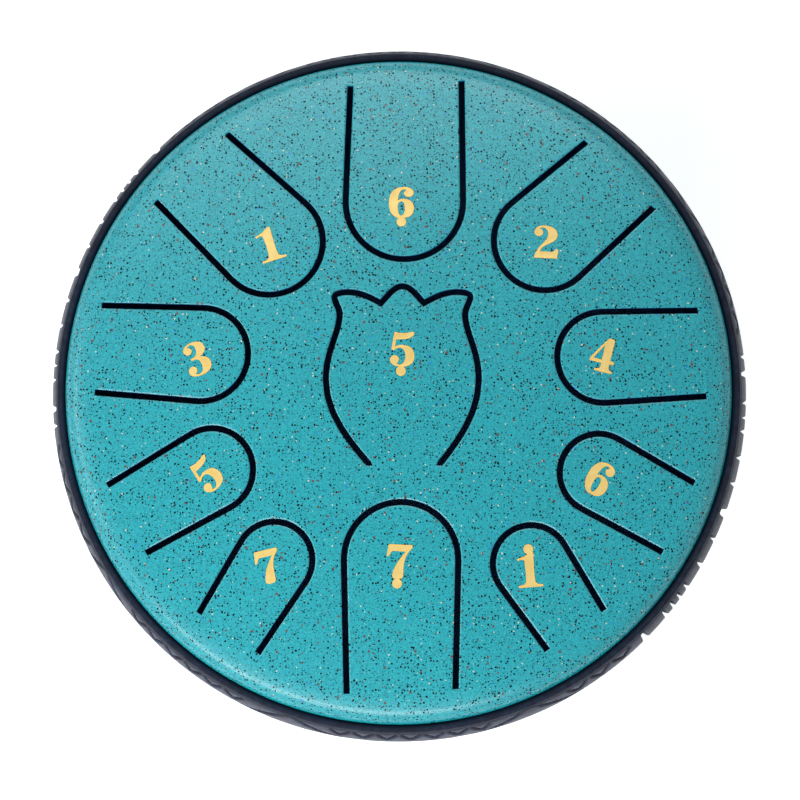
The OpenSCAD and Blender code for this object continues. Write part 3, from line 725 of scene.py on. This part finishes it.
def blade_and_hole(note, root, face_loops):
    """A tongue's piece, the middle of its outline, and the border of its hole in the face."""
    own = max(top_loops(f"tongue_{note}"), key=len)
    loop, marks = resampled(own, OUTLINE_STEP, OUTLINE_WINDOW, OUTLINE_CORNER)
    middle = loop.mean(0)
    nearest = min(face_loops, key=lambda h: np.linalg.norm(h[:, :2].mean(0) - middle))
    hole, hole_marks = resampled(nearest, OUTLINE_STEP, OUTLINE_WINDOW, OUTLINE_CORNER)
    a, b = nearest_root(loop, marks, root)
    hole_a, hole_b = nearest_root(hole, hole_marks, root)
    # The root line of the face, and the tongue's corners brought up to it at shares of its span
    p, q = hole[hole_a], hole[hole_b]
    span = np.linalg.norm(q - p)
    way = (q - p) / span
    first = float((loop[b] - p) @ way) / span
    last = float((loop[a] - p) @ way) / span
    loop[a], loop[b] = p + way * last * span, p + way * first * span
    # Hole and tongue have the same points along the root
    fade = ROOT_FADE / span
    along = list(np.linspace(first, last, ROOT_POINTS))
    before = [0, first / 2, first - fade]
    after = [last + fade, (1 + last) / 2]
    hole = root_stretch(hole, hole_a, hole_b, before + along + after)
    softened = np.ones(len(hole))
    softened[len(before) : len(before) + ROOT_POINTS] = 0
    border = cut_rows(hole, softened, dome(), dome(SHEET_T))
    loop = root_stretch(loop, a, b, [(s - last) / (first - last) for s in along[:0:-1]])
    softened = np.ones(len(loop))
    softened[:ROOT_POINTS] = 0
    edge = cut_rows(loop, softened, dome(), dome(SHEET_T))
    tongue = Shape()
    add_sheet(tongue, [edge], dome(), dome(SHEET_T), FACE_STEP)
    return tongue.made(f"blade_{note}", [LACQUER, INNER_PAINT_AND_SLOT_SHADE]), middle, border


face_loops = top_loops("top_shell")
bend_start = math.pi / 2 - EDGE_TILT
face_borders = [
    shell_border(BEND_R, BEND_Z, bend_start, SHOULDER_STEPS, SEAM_Z + WELD_GAP / 2)
]
for note in NOTES:
    root = np.array(JOINTS[f"note_{note}"]["pos_m"][:2])
    piece, middle, border = blade_and_hole(note, root, face_loops)
    face_borders.append(border)
    # Points at its root and a little way inwards along it, at the root's height
    tip = root + (middle - root) / np.linalg.norm(middle - root) * BEND_LENGTH
    root_z = float(dome()(*root))
    start, end = (*root, root_z), (*tip, root_z)
    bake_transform(piece)
    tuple(start)
    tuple(end)
    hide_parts(f"tongue_{note}")

face = Shape()
add_sheet(face, face_borders, dome(), dome(SHEET_T), FACE_STEP)
playing_face = face.made("playing_face", [LACQUER, INNER_PAINT_AND_SLOT_SHADE])
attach(playing_face, "drum")
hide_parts("top_shell")


# ---------------------------------------------------------------- gold numbers

def edge_distance(points, loops):
    """Distance of each point from the nearest outline."""
    starts = np.vstack(loops)
    ways = np.vstack([np.roll(loop, -1, 0) - loop for loop in loops])
    offs = points[:, None, :] - starts[None]
    share = np.clip((offs * ways).sum(2) / (ways**2).sum(1), 0, 1)
    return np.sqrt((((offs - share[..., None] * ways) ** 2).sum(2)).min(1))


def foil_number(note):
    """A number's foil, whose attribute rim is 1 on its raised rim and 0 inside."""
    raw = top_loops(f"number_{note}")
    loops = [resampled(loop, NUMBER_STEP, NUMBER_WINDOW, NUMBER_CORNER)[0] for loop in raw]
    points, tris = filled(loops, NUMBER_GRID)
    # The node's top face lies in a plane
    cloud = np.vstack(raw)
    flat = np.column_stack([cloud[:, :2], np.ones(len(cloud))])
    plane = np.linalg.lstsq(flat, cloud[:, 2], rcond=None)[0]
    top = plane[0] * points[:, 0] + plane[1] * points[:, 1] + plane[2]
    away = edge_distance(points, loops)
    distances, shares = np.array(NUMBER_RIM).T
    height = np.interp(away, distances * MM, shares)
    number = Shape()
    above = number.add(np.column_stack([points, top - FOIL_T * (1 - height)]))
    below = number.add(np.column_stack([points, top - FOIL_T]))
    number.tris(above[tris], FRONT)
    number.tris(below[tris][:, ::-1], BACK)
    for a, b in spans(loops):
        number.strip(above[a:b], below[a:b], BACK)
    foil_piece = number.made(f"foil_{note}", [FOIL, FOIL_SIDE_SHADE], sharp=50)
    rims = foil_piece.data.attributes.new("rim", "FLOAT", "POINT")
    rim = np.interp(away, distances[-2:] * MM, [1, 0])
    rims.data.foreach_set("value", np.concatenate([rim, rim]))
    return foil_piece


for note in NOTES:
    piece = foil_number(note)
    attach(piece, f"note_{note}")
    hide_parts(f"number_{note}")


# ---------------------------------------------------------------- rim band

def smooth_step(t):
    """0 below 0, 1 above 1, and a smooth rise between."""
    t = np.clip(t, 0, 1)
    return t * t * (3 - 2 * t)


def bulge(v):
    """Radius of the pads' face at a height from the seam."""
    r = (BULGE_HALF_H**2 + PAD_SWELL**2) / (2 * PAD_SWELL)
    return LIP_R + PAD_SWELL - r + np.sqrt(r * r - v * v)


def relief_paths():
    """Middle lines of the grooves as points (share of a repeat, height), each with its width
    and whether the lower half of the band mirrors it."""
    half = BAND_H / 2
    for left, peak, right in PETALS:
        for foot in (left, right):
            yield [
                (foot + (peak - foot) * t,
                 half * (FOOT_SHARE + t**PETAL_CURVE * (PEAK_SHARE - FOOT_SHARE)))
                for t in np.linspace(0, 1, PETAL_POINTS)
            ], GROOVE_W, True
    for first, last, count in CHEVRONS:
        step = (last - first) / count
        for i in range(count):
            middle = first + (i + 0.5) * step
            yield [
                (middle - ARM_REACH * step, half * ARM_SHARE),
                (middle, half * POINT_SHARE),
                (middle + ARM_REACH * step, half * ARM_SHARE),
            ], GROOVE_W, True
    for place, width in SLITS:
        yield [(place, -half), (place, half)], width * GROOVE_W, False


def groove_shares(heights):
    """How deep in a groove the band's face is, from 0 to 1: a row for each height, with a value
    for each column."""
    run = 2 * math.pi * (LIP_R + PAD_SWELL) / RELIEF_REPEATS
    around = np.arange(BAND_COLUMNS) / BAND_COLUMNS * RELIEF_REPEATS
    cut = np.zeros((len(heights), BAND_COLUMNS))
    lines = [
        (start, end, width, flip, m)
        for path, width, mirrored in relief_paths()
        for flip in ((1, -1) if mirrored else (1,))
        for start, end in zip(path, path[1:])
        for m in range(-1, RELIEF_REPEATS + 1)
    ]
    for (s0, v0), (s1, v1), width, flip, m in lines:
        low, high = min(s0, s1) + m - width / run, max(s0, s1) + m + width / run
        near = np.where((around >= low) & (around <= high))[0]
        if not len(near):
            continue
        x = (around[near][None, :] - s0 - m) * run
        y = heights[:, None] * flip - v0
        dx, dy = (s1 - s0) * run, v1 - v0
        t = np.clip((x * dx + y * dy) / (dx * dx + dy * dy), 0, 1)
        away = np.hypot(x - t * dx, y - t * dy)
        depth = 1 - smooth_step((away - GROOVE_FLAT * width) / GROOVE_SLOPE_W)
        cut[:, near] = np.maximum(cut[:, near], depth)
    return cut


def band_piece():
    """The band, whose attribute relief is 0 in the grooves, as painted shade, and up to 1 on the
    pads, as painted sheen.
    """
    reach = math.pi / 2 * ROW_CROWDING
    heights = np.sin(np.linspace(1, -1, BAND_ROWS + 1) * reach) / math.sin(reach) * BULGE_HALF_H
    cut = groove_shares(heights)
    pads = bulge(heights)[:, None]
    radius = pads - (pads - np.minimum(pads, GROOVE_FLOOR_R)) * cut
    turn = np.arange(BAND_COLUMNS) * 2 * math.pi / BAND_COLUMNS
    band = Shape()

    def ring(r, z):
        z = np.full(BAND_COLUMNS, z)
        return band.add(np.column_stack([r * np.cos(turn), r * np.sin(turn), z]))

    def lip_edge(r, middle_r, middle_z, start, end):
        turns = (math.radians(start), math.radians(end))
        return [ring(*point) for point in arc(r, middle_r, middle_z, *turns, LIP_STEPS)]

    top_z, low_z = SEAM_Z + BAND_H / 2, SEAM_Z - BAND_H / 2
    bore = SHELL_R + BAND_FIT
    lip_r, inner_r = LIP_R - LIP_ROUND, bore + LIP_INNER_ROUND
    # The lip's inner rounding against the shell keeps relief 0, a dark line of painted shadow
    chain = lip_edge(LIP_INNER_ROUND, inner_r, top_z - LIP_INNER_ROUND, 180, 90)
    lip_rows = [ring((bore + LIP_R) / 2, top_z)]
    lip_rows += lip_edge(LIP_ROUND, lip_r, top_z - LIP_ROUND, 90, LIP_END_TILT)
    pad_rows = [ring(r, SEAM_Z + v) for r, v in zip(radius, heights)]
    chain += lip_rows + pad_rows
    chain += lip_edge(LIP_ROUND, lip_r, low_z + LIP_ROUND, -LIP_END_TILT, -90)
    room = SHELL_R + WELD_ROOM_T
    room_low, room_top = SEAM_Z - WELD_ROOM_HALF_H, SEAM_Z + WELD_ROOM_HALF_H
    chain += [ring(bore, low_z), ring(bore, room_low), ring(room, room_low)]
    chain += [ring(room, room_top), ring(bore, room_top)]
    for a, b in zip(chain, chain[1:] + chain[:1]):
        band.strip(a, b)
    made = band.made("rubber_band", [BAND], sharp=60)

    # Painted sheen on the pads: weaker at their middle and fading to the lip's tone at their
    # edges
    off_seam = np.abs(heights)
    pad_tone = PAD_MIDDLE_TONE + (1 - PAD_MIDDLE_TONE) * off_seam / BULGE_HALF_H
    inward = smooth_step((BULGE_HALF_H - off_seam) / PAD_BORDER_H * 2 - 1)
    tone = LIP_TONE + (pad_tone - LIP_TONE) * inward
    relief = np.zeros(band.count)
    relief[np.concatenate(lip_rows)] = LIP_TONE
    # In the grooves the tone goes to 0, painted shade, widened past their cut by the square root
    for k, row in enumerate(pad_rows):
        relief[row] = tone[k] * (1 - np.sqrt(cut[k]))
    made.data.attributes.new("relief", "FLOAT", "POINT").data.foreach_set("value", relief)
    return made


rubber_band = band_piece()
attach(rubber_band, "drum")
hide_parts("rim_band")


# ---------------------------------------------------------------- bowl, feet and fastenings

def foot_place(angle):
    """Middle of the foot at an angle in degrees, x and y."""
    turn = math.radians(angle)
    return np.array([FOOT_CIRCLE_R * math.cos(turn), FOOT_CIRCLE_R * math.sin(turn)])


def bowl_hole(r, centre, count):
    """Border of a hole in the bowl's flat bottom, built upside down as the bowl is."""
    loop = circle(r, count, (centre[0], -centre[1]), -1)
    return cut_rows(loop, np.ones(count), level(-FOOT_H), level(-FOOT_H - SHEET_T))


# The bowl is built upside down, so that its outer face is its top face, and then turned over
bowl_borders = [
    shell_border(
        BOWL_BEND_R, -FOOT_H - BOWL_BEND_R, math.pi / 2, BOWL_STEPS, WELD_GAP / 2 - SEAM_Z
    ),
    bowl_hole(SOUND_HOLE_R, (0, 0), SOUND_HOLE_POINTS),
]
for angle in FOOT_ANGLES:
    bowl_borders.append(bowl_hole(SCREW_HOLE_R, foot_place(angle), SCREW_HOLE_POINTS))
bowl = Shape()
add_sheet(bowl, bowl_borders, level(-FOOT_H), level(-FOOT_H - SHEET_T), BOWL_FILL_STEP)
bowl.points = [points * np.array([1, -1, -1]) for points in bowl.points]
lower_bowl = bowl.made("lower_bowl", [LACQUER, INNER_PAINT_AND_SLOT_SHADE])
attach(lower_bowl, "drum")
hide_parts("bottom_shell")


def rounded(profile, steps):
    """A closed profile of points (radius, height, reach) with its corners rounded, as points
    (radius, height)."""
    corners = [np.array(corner) for *corner, _ in profile]
    points = []
    for i, (corner, (*_, reach)) in enumerate(zip(corners, profile)):
        before, after = corners[i - 1], corners[(i + 1) % len(corners)]
        start = corner + (before - corner) / np.linalg.norm(before - corner) * reach
        end = corner + (after - corner) / np.linalg.norm(after - corner) * reach
        for t in np.linspace(0, 1, steps + 1):
            points.append((1 - t) ** 2 * start + 2 * t * (1 - t) * corner + t**2 * end)
    return points


for i, angle in enumerate(FOOT_ANGLES, 1):
    foot = Shape()
    centre = np.array([*foot_place(angle), 0])
    profile = rounded(FOOT_PROFILE, FOOT_CORNER_STEPS)
    rows = [foot.add(row + centre) for row in ring_rows(profile, FOOT_COLUMNS)]
    for a, b in zip(rows, rows[1:] + rows[:1]):
        foot.strip(b, a)
    pad = foot.made(f"foot_pad_{i}", [FOOT], sharp=50)
    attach(pad, "drum")
    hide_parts(f"rubber_foot_{i}")

BARE_NODES = {"seam_weld": WELD, "foot_screws": STEEL, "foot_washers": ZINC, "foot_nuts": ZINC}
for name, material in BARE_NODES.items():
    materials = frame["nodes"][name].data.materials
    for slot in range(len(materials)):
        materials[slot] = material


# ---------------------------------------------------------------- floor, light and camera

FLOOR_REACH = 6.0
FLOOR_WHITE = 0.9
# How much the floor is raised to white near the drum and far from it, and the distances between
# which that changes
FLOOR_LIFT = (0.44, 0.9)
FLOOR_FADE = (0.25, 0.95)
SKY_LEVEL = 0.16

# Lamps: azimuth and elevation in degrees, distance, size and power
LAMPS = {
    "front": (-108, 32, 0.48, (0.5, 0.11), 2.2),
    "left": (184, 29, 0.5, (0.3, 0.12), 0.62),
    "right": (-5, 32, 0.6, (0.4, 0.05), 0.18),
    "rear": (84, 37, 0.6, (0.6, 0.25), 0.7),
    "back": (102, 49, 0.95, (1.0, 0.46), 4.1),
}

# The camera looks at a point on the playing face's level, from a little in front and a little
# to the right
AIM = Vector((0.68, -3.46, 73)) * MM
AIM_DISTANCE = 575.7 * MM
TILT_FORWARD = math.radians(6)
TILT_RIGHT = math.radians(1.25)
ROLL = math.radians(0.07)
LENS = 115.4
SENSOR_W = 36


def seen_directly(tree):
    """1 for rays from the camera and rays that mirror or pass through glass, and 0 for the
    light itself."""
    path = node(tree, "ShaderNodeLightPath")
    rays = (path.outputs["Is Camera Ray"], path.outputs["Is Glossy Ray"])
    either = math_node(tree, "MAXIMUM", *rays)
    return math_node(tree, "MAXIMUM", either, path.outputs["Is Transmission Ray"])


def floor_material():
    """White floor that keeps the shadow. What the camera, gloss and glass see of it is raised
    to white, most where the lamps don't reach. From underneath it is clear, so that the drum's
    feet can be looked at."""
    material, tree, shader = new_material("floor_white", roughness=0.9, gloss=0.0)
    shader.inputs["Base Color"].default_value = (FLOOR_WHITE, FLOOR_WHITE, FLOOR_WHITE, 1)
    out = node(tree, "ShaderNodeVectorMath", operation="LENGTH")
    tree.links.new(position(tree), out.inputs[0])
    lift = mapped(tree, out.outputs["Value"], *FLOOR_FADE, *FLOOR_LIFT)
    glow = node(tree, "ShaderNodeEmission")
    strength = math_node(tree, "MULTIPLY", seen_directly(tree), lift)
    tree.links.new(strength, glow.inputs["Strength"])
    both = node(tree, "ShaderNodeAddShader")
    tree.links.new(shader.outputs[0], both.inputs[0])
    tree.links.new(glow.outputs[0], both.inputs[1])
    side = node(tree, "ShaderNodeNewGeometry").outputs["Backfacing"]
    clear = node(tree, "ShaderNodeBsdfTransparent").outputs[0]
    sides = node(tree, "ShaderNodeMixShader")
    for socket, value in zip(sides.inputs, (side, both.outputs[0], clear)):
        tree.links.new(value, socket)
    tree.links.new(sides.outputs[0], tree.nodes["Material Output"].inputs["Surface"])
    return material


def softbox(name, azimuth, elevation, distance, size, power):
    """A soft rectangular lamp that shines on the drum."""
    turn, rise = math.radians(azimuth), math.radians(elevation)
    out = math.cos(rise)
    way = Vector((math.cos(turn) * out, math.sin(turn) * out, math.sin(rise)))
    lamp = bpy.data.lights.new(name, "AREA")
    lamp.shape = "RECTANGLE"
    lamp.size, lamp.size_y = size
    lamp.energy = power
    obj = bpy.data.objects.new(name, lamp)
    obj.location = Vector((0, 0, SEAM_Z)) + way * distance
    obj.rotation_euler = way.to_track_quat("Z", "Y").to_euler()
    bpy.context.scene.collection.objects.link(obj)


floor_mesh = bpy.data.meshes.new("floor")
signs = ((-1, -1), (1, -1), (1, 1), (-1, 1))
corners = [(x * FLOOR_REACH, y * FLOOR_REACH, 0) for x, y in signs]
floor_mesh.from_pydata(corners, [], [(0, 1, 2, 3)])
floor_mesh.materials.append(floor_material())
floor = bpy.data.objects.new("floor", floor_mesh)
bpy.context.scene.collection.objects.link(floor)

world = bpy.data.worlds.new("studio")
bpy.context.scene.world = world
world.use_nodes = True
sky = world.node_tree.nodes["Background"]
sky.inputs["Color"].default_value = (1, 1, 1, 1)
brightness = mapped(world.node_tree, seen_directly(world.node_tree), 0, 1, SKY_LEVEL, 1)
world.node_tree.links.new(brightness, sky.inputs["Strength"])

for name, settings in LAMPS.items():
    softbox(name, *settings)

camera = bpy.data.cameras.new("camera")
camera.lens = LENS
camera.sensor_width = SENSOR_W
eye = bpy.data.objects.new("camera", camera)
back = Vector((math.tan(TILT_RIGHT), -math.tan(TILT_FORWARD), 1)).normalized()
right = Vector((0, 1, 0)).cross(back).normalized()
up = back.cross(right)
turned = Matrix((right, up, back)).transposed().to_4x4() @ Matrix.Rotation(ROLL, 4, "Z")
eye.matrix_world = Matrix.Translation(AIM + back * AIM_DISTANCE) @ turned
bpy.context.scene.collection.objects.link(eye)
bpy.context.scene.camera = eye
bpy.context.scene.view_settings.view_transform = "Standard"
